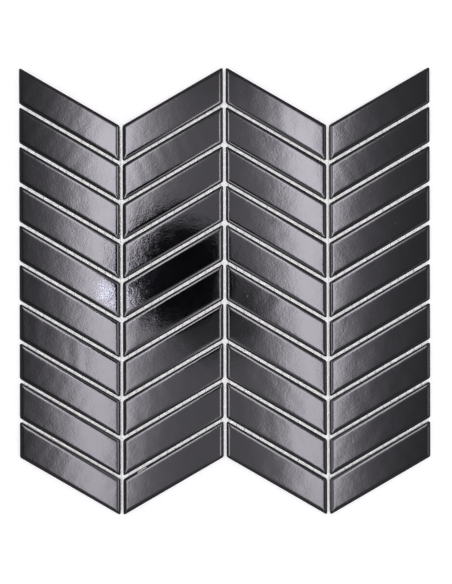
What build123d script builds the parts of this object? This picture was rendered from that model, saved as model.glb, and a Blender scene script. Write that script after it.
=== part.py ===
from build123d import *
import os
from math import cos, radians, tan

# Chevron mosaic sheet: pressed and glazed porcelain chips, set in columns that lean opposite ways
# and glued by their backs to an open net of glass-fibre threads.
# The sheet lies flat with its glazed faces up. X runs across the columns and Y up the columns.
# The origin is under the middle of the sheet, on the underside of the net. Sizes are millimetres.

# Chip
chip_run = 64.9         # across the column, from one upright end to the other
chip_side = 23.3        # length of an upright end
chip_thickness = 6.0
chevron_angle = 30.1    # degrees that the long edges climb or fall
rim_radius = 1.8        # rounding of the glazed face's rim
tip_radius = 0.9        # rounding in plan of the two sharp corners
heel_radius = 2.0       # rounding in plan of the two blunt corners

# Layout
columns = 4
rows = 10
joint = 1.8             # open joint between neighbouring chips, square to their edges

# Net
thread_pitch = 5.0
thread_width = 0.8
thread_thickness = 0.3
net_inset = 2.5         # the net stops this far inside the outermost chip edges

# Sizes that follow from those above
slope = tan(radians(chevron_angle))
rise = chip_run * slope
slanted_joint = joint / cos(radians(chevron_angle))
row_pitch = chip_side + slanted_joint
column_pitch = chip_run + joint
column_length = rows * row_pitch - slanted_joint
sheet_width = columns * column_pitch - joint
sheet_length = column_length + rise
net_thickness = 2 * thread_thickness


def chip(lean):
    """One chip, centred on Z with its back at Z = 0. Its long edges climb towards +X where lean is
    +1 and fall where it is -1. The rim's roundings meet in mitres over the rounded corners."""
    half_run = chip_run / 2
    half_side = chip_side / 2
    climb = lean * rise / 2
    plan = make_face(
        Polyline(
            (-half_run, -climb - half_side),
            (half_run, climb - half_side),
            (half_run, climb + half_side),
            (-half_run, half_side - climb),
            close=True,
        )
    )
    blank = extrude(plan, amount=chip_thickness)
    cushion = fillet(blank.faces().sort_by(Axis.Z)[-1].edges(), rim_radius)
    tips = plan.vertices().sort_by_distance((0, 0))[-2:]
    blunted = fillet(tips, tip_radius)
    heels = blunted.vertices().sort_by_distance((0, 0))[:2]
    rounded_plan = fillet(heels, heel_radius)
    return cushion & extrude(rounded_plan, amount=chip_thickness)


def net_outline():
    """The face that the net is trimmed to: the zigzag outline of the sheet, drawn in by the inset."""
    reach = column_length / 2 - net_inset / cos(radians(chevron_angle))
    zigzag = [
        ((boundary - columns / 2) * column_pitch, rise / 2 if boundary % 2 == 0 else -rise / 2)
        for boundary in range(columns + 1)
    ]
    upper = [(x, y + reach) for x, y in zigzag]
    lower = [(x, y - reach) for x, y in reversed(zigzag)]
    return make_face(Polyline(*upper, *lower, close=True)) & Rectangle(
        sheet_width - 2 * net_inset, sheet_length
    )


def threads(outline, strips):
    """Flat threads cut from strips at the net's outline. An end too short to be held by a crossing
    thread is left out."""
    shortest = thread_pitch + thread_width
    pieces = [piece for strip in strips for piece in (outline & strip).faces()]
    held = [piece for piece in pieces if max(piece.bounding_box().size) > shortest]
    return [extrude(piece, amount=thread_thickness) for piece in held]


os.makedirs("parts", exist_ok=True)

# The net: weft threads at the bottom, one of them through the middle of the sheet
outline = net_outline()
weft_reach = int((sheet_length / 2 - net_inset) // thread_pitch)
weft_strips = [
    Pos(0, i * thread_pitch) * Rectangle(sheet_width, thread_width)
    for i in range(-weft_reach, weft_reach + 1)
]
weft = threads(outline, weft_strips)
export_step(Compound(children=weft), "parts/net_weft.step")

# Warp threads laid over the weft and bonded to it where they cross, none under the middle joint
warp_reach = round((sheet_width / 2 - net_inset) / thread_pitch)
warp_strips = [
    Pos((i + 0.5) * thread_pitch, 0) * Rectangle(thread_width, sheet_length)
    for i in range(-warp_reach, warp_reach)
]
warp = [Pos(0, 0, thread_thickness) * thread for thread in threads(outline, warp_strips)]
export_step(Compound(children=warp), "parts/net_warp.step")

# The chips, backs on the warp threads: columns lean opposite ways, and row 1 is at their top
for column in range(columns):
    pressed = chip(-1 if column % 2 == 0 else 1)
    x = (column - (columns - 1) / 2) * column_pitch
    for row in range(rows):
        y = ((rows - 1) / 2 - row) * row_pitch
        placed = Pos(x, y, net_thickness) * pressed
        export_step(placed, f"parts/chip_col{column + 1}_row{row + 1:02d}.step")
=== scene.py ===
import math

import bmesh
import bpy
import numpy as np
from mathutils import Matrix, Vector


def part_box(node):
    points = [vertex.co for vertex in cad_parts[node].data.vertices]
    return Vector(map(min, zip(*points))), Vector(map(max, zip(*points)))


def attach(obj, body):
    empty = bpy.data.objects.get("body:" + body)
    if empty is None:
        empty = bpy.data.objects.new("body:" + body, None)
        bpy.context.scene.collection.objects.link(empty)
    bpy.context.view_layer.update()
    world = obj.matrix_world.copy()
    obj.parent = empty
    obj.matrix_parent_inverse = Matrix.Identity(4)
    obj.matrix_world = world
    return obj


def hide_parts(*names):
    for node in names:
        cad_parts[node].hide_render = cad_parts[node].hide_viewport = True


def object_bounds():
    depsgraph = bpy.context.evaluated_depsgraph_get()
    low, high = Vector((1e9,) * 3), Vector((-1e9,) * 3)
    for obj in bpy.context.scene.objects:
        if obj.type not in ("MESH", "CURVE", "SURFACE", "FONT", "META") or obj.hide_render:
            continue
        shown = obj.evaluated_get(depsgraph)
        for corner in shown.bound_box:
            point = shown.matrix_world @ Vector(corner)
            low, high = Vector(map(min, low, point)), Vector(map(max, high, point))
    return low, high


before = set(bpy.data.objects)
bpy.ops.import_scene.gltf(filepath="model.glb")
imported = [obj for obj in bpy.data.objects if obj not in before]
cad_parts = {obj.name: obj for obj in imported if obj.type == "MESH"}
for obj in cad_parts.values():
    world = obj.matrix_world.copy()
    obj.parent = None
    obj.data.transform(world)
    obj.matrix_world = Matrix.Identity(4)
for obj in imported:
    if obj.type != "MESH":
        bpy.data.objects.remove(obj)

cad_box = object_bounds()
collection = bpy.context.scene.collection

# Glazed chips
# Each chip is one parallelogram of porcelain, pressed in a die, dipped in a black glaze and fired.
# The glaze pulls back from the edge as it melts, so the face rolls over slowly and then tightly into
# the side. The foot of the side and the back stay bare, and the back is glued to the net.
mm = 0.001
chevron = math.radians(30.1)
slope = math.tan(chevron)
chip_side = 23.3 * mm
tip_radius = 0.9 * mm
heel_radius = 2.0 * mm
crown_radius = 15.0 * mm
wall_radius = 1.05 * mm
roll_angle = math.radians(6.4)
glaze_foot = 1.3 * mm
foot_chamfer = 0.3 * mm
face_spacing = 1.8 * mm
corner_steps = 8
foot_wander = 0.3 * mm
foot_wander_step = 0.05
tilt_spread_degrees = 0.11
askew_degrees = {
    "chip_col1_row01": (0.05, 0.0),
    "chip_col1_row02": (0.15, 0.0),
    "chip_col1_row04": (-0.15, 0.0),
    "chip_col1_row06": (0.15, 0.0),
    "chip_col2_row01": (0.05, 0.0),
    "chip_col3_row03": (0.15, 0.0),
    "chip_col3_row05": (0.0, 0.0),
    "chip_col3_row07": (0.0, 0.0),
    "chip_col3_row10": (0.25, 0.0),
    "chip_col4_row01": (-0.05, 0.0),
    "chip_col4_row04": (-0.2, 0.0),
    "chip_col4_row05": (-0.15, 0.0),
    "chip_col4_row07": (0.15, 0.0),
    "chip_col4_row09": (0.0, 0.0),
}
bow_height = 0.015 * mm
bow_spread = 0.012 * mm
wave_lengths = (9 * mm, 24 * mm)
wave_height = 0.0028 * mm
waves_a_face = 4
flaked_chip = "chip_col2_row10"
flake_spacing = 0.6 * mm
flake_start = 10.5 * mm
flake_length = 7.0 * mm
flake_width = 0.8 * mm
flake_slant = 0.48 * mm
flake_depth = 0.15 * mm
rim_angles = np.radians([0, 0.8, 1.6, 2.4, 3.2, 4, 5, 6, 7.2, 9, 12, 17, 25, 35, 48, 62, 76, 90])


def linear(hex_colour):
    """An sRGB hex colour as linear red, green, blue and alpha."""
    parts = [int(hex_colour[i : i + 2], 16) / 255 for i in (1, 3, 5)]
    return [p / 12.92 if p <= 0.04045 else ((p + 0.055) / 1.055) ** 2.4 for p in parts] + [1.0]


def add_node(tree, kind, sockets=None, **settings):
    """Adds a node with its settings. A socket given another node's output is linked to it."""
    node = tree.nodes.new(kind)
    for name, value in settings.items():
        setattr(node, name, value)
    for name, value in (sockets or {}).items():
        if isinstance(value, bpy.types.NodeSocket):
            tree.links.new(value, node.inputs[name])
        else:
            node.inputs[name].default_value = value
    return node


def rim_profile():
    """How far each rim ring lies inside the wall, and how far below the face. The radius tightens
    from the crown's to the wall's as the glaze turns down."""
    angle = np.linspace(0, math.pi / 2, 901)
    radius = wall_radius + (crown_radius - wall_radius) / (1 + (angle / roll_angle) ** 4)
    step = angle[1] - angle[0]
    inward = np.cumsum(radius * np.cos(angle)) * step
    drop = np.cumsum(radius * np.sin(angle)) * step
    return inward[-1] - np.interp(rim_angles, angle, inward), np.interp(rim_angles, angle, drop)


def chip_ring(inset, half_run, lean, steps):
    """Points round a chip's outline, drawn in by inset. Corners keep their arcs until the inset uses
    up the radius, and are sharp from there on."""
    normals = [(lean * math.sin(chevron), -math.cos(chevron)), (1, 0)]
    normals += [(-x, -y) for x, y in normals]
    facing = [math.atan2(y, x) for x, y in normals]
    ends = [(1, -1), (1, 1), (-1, 1), (-1, -1)]
    arcs = []
    for corner, (right, up) in enumerate(ends):
        radius = tip_radius if right * up == lean else heel_radius
        pulled = max(radius, inset)
        x = right * (half_run - pulled)
        y = lean * slope * x + up * (chip_side / 2 - pulled / math.cos(chevron))
        start = facing[corner]
        turn = (facing[(corner + 1) % 4] - start) % (2 * math.pi)
        swing = start + turn * np.linspace(0, 1, corner_steps + 1)
        bend = max(radius - inset, 0)
        arcs.append(np.stack([x + bend * np.cos(swing), y + bend * np.sin(swing)], axis=1))
    points = []
    for corner, arc in enumerate(arcs):
        along = steps[(corner + 1) % 2]
        share = np.linspace(0, 1, along + 1)[1:-1, None]
        points += [arc, arc[-1] + share * (arcs[(corner + 1) % 4][0] - arc[-1])]
    return np.concatenate(points)


def firing_form(node, x, y, half_run, seed):
    """Height of a fired face over its mean plane: how the chip tilts on the net, bows and ripples."""
    chance = np.random.default_rng(seed)
    settled = chance.normal(0, tilt_spread_degrees, 2)
    tilt = np.radians(askew_degrees.get(node, settled))
    bow = chance.normal(bow_height, bow_spread)
    height = tilt[0] * x + tilt[1] * y - bow * (x / half_run) ** 2
    for _ in range(waves_a_face):
        wave = chance.uniform(*wave_lengths)
        heading = chance.uniform(0, math.pi)
        phase = chance.uniform(0, 2 * math.pi)
        along = x * math.cos(heading) + y * math.sin(heading)
        height = height + wave_height * np.sin(2 * math.pi * along / wave + phase)
    return height


def chip_mesh(node, low, high, lean, seed):
    """A chip's mesh in the sheet's frame: face, rim and sides in the glaze, foot and back bare. The
    flaked chip has lost a sliver of glaze from its upper rim."""
    flaked = node == flaked_chip
    half_run = (high[0] - low[0]) / 2
    thickness = high[2] - low[2]
    spacing = flake_spacing if flaked else face_spacing
    steps = (round(2 * half_run / math.cos(chevron) / spacing), round(chip_side / spacing))
    insets, drops = rim_profile()
    rings = [chip_ring(inset, half_run, lean, steps) for inset in insets]
    heights = [thickness - drop + 0 * ring[:, 0] for ring, drop in zip(rings, drops)]
    wall = rings[-1]
    chance = np.random.default_rng(seed + 1000)
    lap = np.cumsum(chance.normal(0, foot_wander_step, len(wall)))
    lap -= np.linspace(lap[0], lap[-1], len(wall))
    glaze_rings = len(rings)
    rings += [wall, wall, chip_ring(foot_chamfer, half_run, lean, steps)]
    heights += [glaze_foot + foot_wander * np.tanh(lap), 0 * lap + foot_chamfer, 0 * lap]
    inner = rings[0]
    u = np.linspace(0, 1, steps[0] + 1)
    v = np.linspace(0, 1, steps[1] + 1)
    corner_at = np.cumsum([0] + [corner_steps + s for s in (steps[1], steps[0], steps[1])])
    low_right, high_right, high_left, low_left = (inner[i] for i in corner_at)
    bottom = low_left + u[:, None] * (low_right - low_left)
    top = high_left + u[:, None] * (high_right - high_left)
    face = bottom[:, None] + v[None, :, None] * (top - bottom)[:, None]
    first = face.shape[0] * face.shape[1]
    count = len(wall)
    points = np.concatenate([face.reshape(-1, 2)] + rings)
    height = np.concatenate([np.full(first, thickness)] + heights)
    form = firing_form(node, points[:, 0], points[:, 1], half_run, seed)
    raised = height > glaze_foot + mm
    form = np.where(raised, form - form[raised].max(), 0)
    bare = np.zeros(len(points), bool)
    if flaked:
        inset = np.full(len(points), chip_side)
        inset[first : first + glaze_rings * count] = np.repeat(insets, count)
        share = ((points[:, 0] + half_run) / math.cos(chevron) - flake_start) / flake_length
        start = flake_slant * (1 - share)
        upper = points[:, 1] > lean * slope * points[:, 0]
        bare = upper & (share > 0) & (share < 1) & (inset >= start) & (inset <= start + flake_width)
        height = height - flake_depth * bare
    middle = [(low[0] + high[0]) / 2, (low[1] + high[1]) / 2]
    place = np.column_stack([points + middle, height + form + low[2]])

    across = len(v)
    quads = [
        (i * across + j, (i + 1) * across + j, (i + 1) * across + j + 1, i * across + j + 1)
        for i in range(steps[0])
        for j in range(steps[1])
    ]
    finish = [0] * len(quads)
    for ring in range(len(rings) - 1):
        start = first + ring * count
        for i in range(count):
            j = (i + 1) % count
            quad = (start + i, start + count + i, start + count + j, start + j)
            quads.append(quad)
            finish.append(1 if ring >= glaze_rings or bare[list(quad)].all() else 0)
    quads.append(tuple(first + (len(rings) - 1) * count + i for i in reversed(range(count))))
    finish.append(1)

    mesh = bpy.data.meshes.new(node + "_glazed")
    mesh.from_pydata(place.tolist(), [], quads)
    mesh.polygons.foreach_set("material_index", finish)
    work = bmesh.new()
    work.from_mesh(mesh)
    bmesh.ops.remove_doubles(work, verts=work.verts, dist=0.001 * mm)
    bmesh.ops.recalc_face_normals(work, faces=work.faces)
    for polygon in work.faces:
        polygon.smooth = polygon.calc_center_median().z > low[2] + foot_chamfer
    work.to_mesh(mesh)
    work.free()
    return mesh


# Black gloss glaze: a layer of dark glass, melted smooth. It mirrors the lamps sharply and breaks
# them up a little at their edges, because it is not quite flat: a faint orange peel, finer ripples
# and a few pinholes where gas left it.
peel_size = 4.0 * mm
peel_height = 0.010 * mm
ripple_size = 1.0 * mm
ripple_height = 0.011 * mm
pinhole_spacing = 14.0 * mm
pinhole_radius = 0.42 * mm
pinhole_depth = 0.05 * mm
noise_range = (0.3, 0.7)
glaze_roughness = (0.04, 0.06)
glaze = bpy.data.materials.new("black_gloss_glaze")
glaze.use_nodes = True
tree = glaze.node_tree
tree.nodes.clear()
where = add_node(tree, "ShaderNodeTexCoord").outputs["Object"]
peel = add_node(
    tree, "ShaderNodeTexNoise", {"Vector": where, "Scale": 1 / peel_size, "Detail": 1.0}
)
ripple = add_node(
    tree, "ShaderNodeTexNoise", {"Vector": where, "Scale": 1 / ripple_size, "Detail": 2.0}
)
pinhole = add_node(
    tree, "ShaderNodeTexVoronoi", {"Vector": where, "Scale": 1 / pinhole_spacing, "Randomness": 1.0}
)
pit = add_node(
    tree,
    "ShaderNodeMapRange",
    {"Value": pinhole.outputs["Distance"], "From Max": pinhole_radius / pinhole_spacing},
)
peel_bump = add_node(
    tree, "ShaderNodeBump", {"Height": peel.outputs["Fac"], "Distance": peel_height}
)
ripple_bump = add_node(
    tree,
    "ShaderNodeBump",
    {"Height": ripple.outputs["Fac"], "Distance": ripple_height, "Normal": peel_bump.outputs["Normal"]},
)
pit_bump = add_node(
    tree,
    "ShaderNodeBump",
    {"Height": pit.outputs["Result"], "Distance": pinhole_depth, "Normal": ripple_bump.outputs["Normal"]},
)
sheen = add_node(
    tree,
    "ShaderNodeMapRange",
    {
        "Value": peel.outputs["Fac"],
        "From Min": noise_range[0],
        "From Max": noise_range[1],
        "To Min": glaze_roughness[0],
        "To Max": glaze_roughness[1],
    },
)
shader = add_node(
    tree,
    "ShaderNodeBsdfPrincipled",
    {
        "Base Color": linear("#07070A"),
        "Roughness": sheen.outputs["Result"],
        "IOR": 1.5,
        "Normal": pit_bump.outputs["Normal"],
    },
)
add_node(tree, "ShaderNodeOutputMaterial", {"Surface": shader.outputs["BSDF"]})

# Bare porcelain: the pressed and fired body where no glaze took. Pale, dull and finely grained.
grain_size = 0.6 * mm
grain_height = 0.05 * mm
body = bpy.data.materials.new("bare_porcelain")
body.use_nodes = True
tree = body.node_tree
tree.nodes.clear()
where = add_node(tree, "ShaderNodeTexCoord").outputs["Object"]
grain = add_node(tree, "ShaderNodeTexNoise", {"Vector": where, "Scale": 1 / grain_size, "Detail": 3.0})
tone = add_node(tree, "ShaderNodeValToRGB", {"Fac": grain.outputs["Fac"]})
tone.color_ramp.elements[0].color = linear("#CCC7BD")
tone.color_ramp.elements[1].color = linear("#E6E2DA")
grit = add_node(tree, "ShaderNodeBump", {"Height": grain.outputs["Fac"], "Distance": grain_height})
shader = add_node(
    tree,
    "ShaderNodeBsdfPrincipled",
    {
        "Base Color": tone.outputs["Color"],
        "Roughness": 0.85,
        "Normal": grit.outputs["Normal"],
    },
)
add_node(tree, "ShaderNodeOutputMaterial", {"Surface": shader.outputs["BSDF"]})

columns = 4
rows = 10
for column in range(columns):
    for row in range(rows):
        node = f"chip_col{column + 1}_row{row + 1:02d}"
        low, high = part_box(node)
        lean = -1 if column % 2 == 0 else 1
        mesh = chip_mesh(node, low, high, lean, 10 * column + row)
        mesh.materials.append(glaze)
        mesh.materials.append(body)
        piece = bpy.data.objects.new(mesh.name, mesh)
        collection.objects.link(piece)
        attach(piece, "root")
        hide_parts(node)

# Backing net
# An open scrim of white glass-fibre yarn, stiffened with resin so that its squares hold. Flat weft
# rovings lie at the bottom and twisted warp yarns cross over them, glued to the chip backs.
thread_pitch = 5.0 * mm
thread_width = 0.8 * mm
weft_step = 1.25 * mm
warp_step = 2.5 * mm
yarn_section = [(-1, 0), (-0.6, 0.64), (0, 1), (0.6, 0.64), (1, 0)]
column_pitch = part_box("chip_col2_row01")[0][0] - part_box("chip_col1_row01")[0][0]


def yarn_mesh(name, paths, widths, thicknesses, across):
    """Yarns with a flat underside and a rounded back, joined as one mesh. Each path runs under its
    yarn's middle, and across is the level direction square to it."""
    sides = len(yarn_section)
    aside = np.array([point[0] for point in yarn_section])[None, :, None]
    above = np.array([point[1] for point in yarn_section])[None, :, None]
    points, faces, start = [], [], 0
    for path, width, thickness in zip(paths, widths, thicknesses):
        spread = aside * (width / 2)[:, None, None] * np.array(across)
        lift = above * thickness[:, None, None] * np.array([0, 0, 1])
        points.append((path[:, None] + spread + lift).reshape(-1, 3))
        for i in range(len(path) - 1):
            near = start + i * sides
            for j in range(sides):
                k = (j + 1) % sides
                faces.append((near + j, near + k, near + sides + k, near + sides + j))
        last = start + (len(path) - 1) * sides
        faces.append(tuple(range(start, start + sides)))
        faces.append(tuple(range(last, last + sides)))
        start += len(path) * sides
    mesh = bpy.data.meshes.new(name)
    mesh.from_pydata(np.concatenate(points).tolist(), [], faces)
    work = bmesh.new()
    work.from_mesh(mesh)
    bmesh.ops.recalc_face_normals(work, faces=work.faces)
    for polygon in work.faces:
        polygon.smooth = polygon.normal.z > 0 and len(polygon.verts) == 4
    work.to_mesh(mesh)
    work.free()
    return mesh


def zigzag(x):
    """How far the sheet's ends stand above or below their mean line at a place across the sheet."""
    fold = np.abs((x / column_pitch) % 2 - 1)
    return column_pitch * slope * (fold - 0.5)


# Resin-stiffened glass fibre: white and half clear, because light passes between its filaments, which
# run along the yarn and catch the light. They are drawn about ten times too coarse, so that they show.
filament_size = 0.12 * mm
filament_length = 3.0 * mm
filament_height = 0.008 * mm


def glass_fibre(name, stretch):
    """White yarn whose filaments run along one axis. stretch is the noise scale along X, Y and Z."""
    fibre = bpy.data.materials.new(name)
    fibre.use_nodes = True
    tree = fibre.node_tree
    tree.nodes.clear()
    where = add_node(tree, "ShaderNodeTexCoord").outputs["Object"]
    drawn = add_node(tree, "ShaderNodeMapping", {"Vector": where, "Scale": stretch}).outputs["Vector"]
    filaments = add_node(tree, "ShaderNodeTexNoise", {"Vector": drawn, "Scale": 1.0, "Detail": 2.0})
    tone = add_node(tree, "ShaderNodeValToRGB", {"Fac": filaments.outputs["Fac"]})
    tone.color_ramp.elements[0].color = linear("#F0F0F0")
    tone.color_ramp.elements[1].color = linear("#FCFCFC")
    strands = add_node(
        tree, "ShaderNodeBump", {"Height": filaments.outputs["Fac"], "Distance": filament_height}
    )
    shader = add_node(
        tree,
        "ShaderNodeBsdfPrincipled",
        {
            "Base Color": tone.outputs["Color"],
            "Roughness": 0.5,
            "IOR": 1.5,
            "Transmission Weight": 0.85,
            "Normal": strands.outputs["Normal"],
        },
    )
    add_node(tree, "ShaderNodeOutputMaterial", {"Surface": shader.outputs["BSDF"]})
    return fibre


weft_low, weft_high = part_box("net_weft")
warp_low, warp_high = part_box("net_warp")
warp_half = round(weft_high[0] / thread_pitch)
warp_lines = (np.arange(-warp_half, warp_half) + 0.5) * thread_pitch
reach = warp_high[1] - zigzag(warp_lines).max()

# Weft rovings: flat bundles, thinner and wider half way between the warp yarns than where they cross.
roving_width = 0.672 * mm
roving_thickness = 0.24 * mm
roving_lift = 0.015 * mm
roving_swell = 0.15
paths = []
weft_rows = int(weft_high[1] // thread_pitch)
for y in np.arange(-weft_rows, weft_rows + 1) * thread_pitch:
    x = np.arange(weft_low[0], weft_high[0], weft_step)
    inside = np.where(np.abs(y - zigzag(x)) < reach - thread_width / 2 * (1 + slope))[0]
    for run in np.split(inside, np.where(np.diff(inside) > 1)[0] + 1):
        if len(run) * weft_step > thread_pitch + thread_width:
            level = np.full(len(run), weft_low[2] + roving_lift)
            paths.append(np.column_stack([x[run], np.full(len(run), y), level]))
swell = [1 + roving_swell * np.cos(2 * math.pi * path[:, 0] / thread_pitch) for path in paths]
mesh = yarn_mesh(
    "weft_rovings",
    paths,
    [roving_width * (2 - s) for s in swell],
    [roving_thickness * s for s in swell],
    (0, 1, 0),
)
mesh.materials.append(
    glass_fibre("glass_fibre_roving", (1 / filament_length, 1 / filament_size, 1 / filament_size))
)
weft = bpy.data.objects.new(mesh.name, mesh)
collection.objects.link(weft)
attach(weft, "root")
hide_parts("net_weft")

# Warp yarns: two plies that twist round each other.
ply_width = 0.5 * mm
ply_thickness = 0.2 * mm
ply_lift = 0.04 * mm
twist_pitch = 2 * thread_pitch
paths = []
for x in warp_lines:
    middle = zigzag(x)
    y = np.arange(middle - reach, middle + reach, warp_step)
    for ply in (0, math.pi):
        turn = 2 * math.pi * y / twist_pitch + ply
        sway = (thread_width - ply_width) / 2 * np.cos(turn)
        level = (warp_low[2] + warp_high[2] - ply_thickness) / 2 + ply_lift * np.sin(turn)
        paths.append(np.column_stack([x + sway, y, level]))
mesh = yarn_mesh(
    "warp_yarns",
    paths,
    [np.full(len(path), ply_width) for path in paths],
    [np.full(len(path), ply_thickness) for path in paths],
    (1, 0, 0),
)
mesh.materials.append(
    glass_fibre("glass_fibre_yarn", (1 / filament_size, 1 / filament_length, 1 / filament_size))
)
warp = bpy.data.objects.new(mesh.name, mesh)
collection.objects.link(warp)
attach(warp, "root")
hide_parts("net_warp")

# Floor
# A plain white table under the sheet. What the lens sees of it is lifted towards white, by itself and
# through the clear yarns, and it keeps the sheet's shadow.
floor_half = 3.0
floor_gap = 0.05 * mm
seen_lift = 0.46
seen_lift_through_net = 1.05
mesh = bpy.data.meshes.new("floor")
corners = [(-1, -1), (1, -1), (1, 1), (-1, 1)]
mesh.from_pydata([(x * floor_half, y * floor_half, -floor_gap) for x, y in corners], [], [(0, 1, 2, 3)])
floor = bpy.data.objects.new("floor", mesh)
collection.objects.link(floor)
table = bpy.data.materials.new("white_table")
table.use_nodes = True
tree = table.node_tree
tree.nodes.clear()
matt = add_node(tree, "ShaderNodeBsdfDiffuse", {"Color": linear("#DEDEDE")})
path_kind = add_node(tree, "ShaderNodeLightPath").outputs
lift = add_node(
    tree,
    "ShaderNodeMapRange",
    {"Value": path_kind["Is Transmission Ray"], "To Min": seen_lift, "To Max": seen_lift_through_net},
)
glow = add_node(
    tree, "ShaderNodeEmission", {"Color": linear("#FFFFFF"), "Strength": lift.outputs["Result"]}
)
seen = add_node(
    tree,
    "ShaderNodeMath",
    {0: path_kind["Is Camera Ray"], 1: path_kind["Is Glossy Ray"]},
    operation="MAXIMUM",
)
seen = add_node(
    tree,
    "ShaderNodeMath",
    {0: seen.outputs[0], 1: path_kind["Is Transmission Ray"]},
    operation="MAXIMUM",
)
both = add_node(tree, "ShaderNodeAddShader", {0: matt.outputs[0], 1: glow.outputs[0]})
surface = add_node(
    tree,
    "ShaderNodeMixShader",
    {0: seen.outputs[0], 1: matt.outputs[0], 2: both.outputs[0]},
)
add_node(tree, "ShaderNodeOutputMaterial", {"Surface": surface.outputs[0]})
mesh.materials.append(table)

# Light
# A diffusing scrim hangs over the sheet. Long lamps behind it, which lean a little and end softly, show
# as bands, and two small bulbs show as glints. It has a hole for the lens, with the dim shade of a stand
# beside it, and the room around is a plain pale grey.
scrim_height = 1.15
scrim_reach = (-0.42, 0.72)
scrim_half_length = 0.58
scrim_level = 0.1
room_level = 0.55
# A band's place and lean across the scrim, its half width, the power of its fall, its level and its rise
lamp_bands = [
    (-0.162, 0.042, 0.040, 3.1, 11.6, 0.7),
    (0.113, -0.02, 0.0355, 3.6, 11.4, 0.7),
    (0.52, 0.0, 0.10, 4.0, 2.5, 0.7),
]
scrim_glow = (0.03, 0.0, 0.19, 4.0, 1.15, -0.15)
lamp_middle = -0.03
lamp_ends = (0.22, 0.43)
beyond_lamps = 0.6
lens_hole = (-0.066, 0.032)
lens_hole_half = (0.073, 0.081)
lens_hole_lean = math.radians(20)
lens_hole_edge = (0.92, 1.08)
stand_shade = (-0.006, -0.035)
stand_shade_half = (0.1, 0.075)
stand_shade_lean = math.radians(37)
stand_shade_edge = (0.4, 0.95)
stand_shade_level = 0.33
bulb_edge = (0.3, 1.3)
# A bulb's place on the scrim, its half width and its level
bulbs = [(-0.152, 0.0, 0.007, 70.0), (-0.128, 0.038, 0.005, 40.0)]
mesh = bpy.data.meshes.new("light_scrim")
left, right = scrim_reach
corners = [(left, 1), (right, 1), (right, -1), (left, -1)]
mesh.from_pydata([(x, y * scrim_half_length, 0) for x, y in corners], [], [(0, 1, 2, 3)])
scrim = bpy.data.objects.new("light_scrim", mesh)
scrim.location.z = scrim_height
scrim.visible_camera = False
collection.objects.link(scrim)
lamps = bpy.data.materials.new("lit_scrim")
lamps.use_nodes = True
tree = lamps.node_tree
tree.nodes.clear()
where = add_node(tree, "ShaderNodeTexCoord").outputs["Object"]
axes = add_node(tree, "ShaderNodeSeparateXYZ", {"Vector": where}).outputs
level = scrim_level
for place, lean, spread, power, strength, rise in lamp_bands + [scrim_glow]:
    middle = add_node(tree, "ShaderNodeMath", {0: axes["Y"], 1: lean, 2: place}, operation="MULTIPLY_ADD")
    offset = add_node(
        tree, "ShaderNodeMath", {0: axes["X"], 1: middle.outputs[0]}, operation="SUBTRACT"
    )
    distance = add_node(tree, "ShaderNodeMath", {0: offset.outputs[0]}, operation="ABSOLUTE")
    scaled = add_node(tree, "ShaderNodeMath", {0: distance.outputs[0], 1: spread}, operation="DIVIDE")
    raised = add_node(tree, "ShaderNodeMath", {0: scaled.outputs[0], 1: power}, operation="POWER")
    fall = add_node(tree, "ShaderNodeMath", {0: raised.outputs[0], 1: 1.0}, operation="ADD")
    band = add_node(tree, "ShaderNodeMath", {0: strength, 1: fall.outputs[0]}, operation="DIVIDE")
    along = add_node(tree, "ShaderNodeMath", {0: axes["Y"], 1: rise, 2: 1.0}, operation="MULTIPLY_ADD")
    lit = add_node(
        tree, "ShaderNodeMath", {0: band.outputs[0], 1: along.outputs[0]}, operation="MULTIPLY"
    )
    level = add_node(tree, "ShaderNodeMath", {0: level, 1: lit.outputs[0]}, operation="ADD").outputs[0]
offset = add_node(tree, "ShaderNodeMath", {0: axes["Y"], 1: lamp_middle}, operation="SUBTRACT")
distance = add_node(tree, "ShaderNodeMath", {0: offset.outputs[0]}, operation="ABSOLUTE")
ends = add_node(
    tree,
    "ShaderNodeMapRange",
    {
        "Value": distance.outputs[0],
        "From Min": lamp_ends[0],
        "From Max": lamp_ends[1],
        "To Min": level,
        "To Max": beyond_lamps,
    },
    interpolation_type="SMOOTHSTEP",
)
level = ends.outputs["Result"]
hole = add_node(
    tree,
    "ShaderNodeMapping",
    {
        "Vector": where,
        "Location": (*lens_hole, 0),
        "Rotation": (0, 0, lens_hole_lean),
        "Scale": (*lens_hole_half, 1),
    },
    vector_type="TEXTURE",
)
radius = add_node(tree, "ShaderNodeVectorMath", {0: hole.outputs[0]}, operation="LENGTH")
clear = add_node(
    tree,
    "ShaderNodeMapRange",
    {"Value": radius.outputs["Value"], "From Min": lens_hole_edge[0], "From Max": lens_hole_edge[1]},
    interpolation_type="SMOOTHSTEP",
)
level = add_node(
    tree, "ShaderNodeMath", {0: level, 1: clear.outputs["Result"]}, operation="MULTIPLY"
).outputs[0]
stand = add_node(
    tree,
    "ShaderNodeMapping",
    {
        "Vector": where,
        "Location": (*stand_shade, 0),
        "Rotation": (0, 0, stand_shade_lean),
        "Scale": (*stand_shade_half, 1),
    },
    vector_type="TEXTURE",
)
radius = add_node(tree, "ShaderNodeVectorMath", {0: stand.outputs[0]}, operation="LENGTH")
clear = add_node(
    tree,
    "ShaderNodeMapRange",
    {
        "Value": radius.outputs["Value"],
        "From Min": stand_shade_edge[0],
        "From Max": stand_shade_edge[1],
        "To Min": stand_shade_level,
    },
    interpolation_type="SMOOTHSTEP",
)
shown = add_node(tree, "ShaderNodeMath", {0: level, 1: clear.outputs["Result"]}, operation="MULTIPLY")
light = add_node(tree, "ShaderNodeEmission", {"Color": linear("#F9F4FF"), "Strength": shown.outputs[0]})
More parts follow.
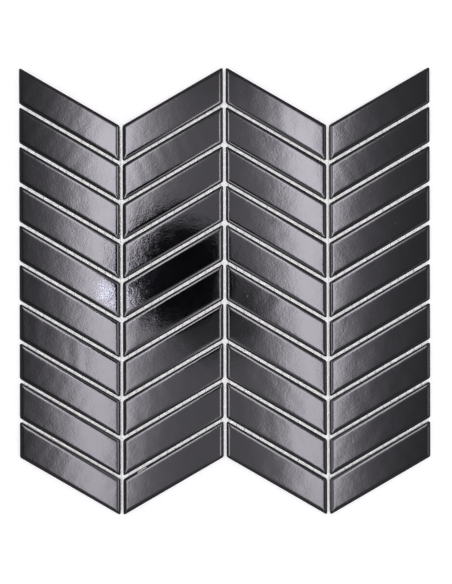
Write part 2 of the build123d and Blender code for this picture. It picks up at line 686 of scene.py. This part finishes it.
for x, y, spread, strength in bulbs:
    bulb = add_node(
        tree,
        "ShaderNodeMapping",
        {"Vector": where, "Location": (x, y, 0), "Scale": (spread, spread, 1)},
        vector_type="TEXTURE",
    )
    radius = add_node(tree, "ShaderNodeVectorMath", {0: bulb.outputs[0]}, operation="LENGTH")
    bright = add_node(
        tree,
        "ShaderNodeMapRange",
        {
            "Value": radius.outputs["Value"],
            "From Min": bulb_edge[0],
            "From Max": bulb_edge[1],
            "To Min": strength,
            "To Max": 0.0,
        },
        interpolation_type="SMOOTHSTEP",
    )
    spot = add_node(
        tree, "ShaderNodeEmission", {"Color": linear("#D9E2FF"), "Strength": bright.outputs["Result"]}
    )
    light = add_node(tree, "ShaderNodeAddShader", {0: light.outputs[0], 1: spot.outputs[0]})
add_node(tree, "ShaderNodeOutputMaterial", {"Surface": light.outputs[0]})
mesh.materials.append(lamps)

room = bpy.data.worlds.new("pale_room")
bpy.context.scene.world = room
room.use_nodes = True
tree = room.node_tree
tree.nodes.clear()
grey = add_node(tree, "ShaderNodeBackground", {"Color": linear("#FFFFFF"), "Strength": room_level})
white = add_node(tree, "ShaderNodeBackground", {"Color": linear("#FFFFFF"), "Strength": 1.0})
camera_ray = add_node(tree, "ShaderNodeLightPath").outputs["Is Camera Ray"]
mixed = add_node(
    tree, "ShaderNodeMixShader", {0: camera_ray, 1: grey.outputs[0], 2: white.outputs[0]}
)
add_node(tree, "ShaderNodeOutputWorld", {"Surface": mixed.outputs[0]})

# Camera
# It looks straight down on the sheet from about a metre. The sheet's middle lies a little left of the
# picture's, as in the photograph.
picture_height_px = 584
px_per_mm = 1.551
camera_height = 1.05
roll = math.radians(0.15)
sheet_offset_px = (-1.25, -0.9)
lens = bpy.data.cameras.new("camera")
lens.sensor_width = 36.0
lens.lens = lens.sensor_width * camera_height / (picture_height_px / px_per_mm * mm)
camera = bpy.data.objects.new("camera", lens)
camera.location = (
    -sheet_offset_px[0] / px_per_mm * mm,
    sheet_offset_px[1] / px_per_mm * mm,
    cad_box[1][2] + camera_height,
)
camera.rotation_euler.z = -roll
collection.objects.link(camera)
bpy.context.scene.camera = camera
bpy.context.scene.view_settings.view_transform = "Standard"
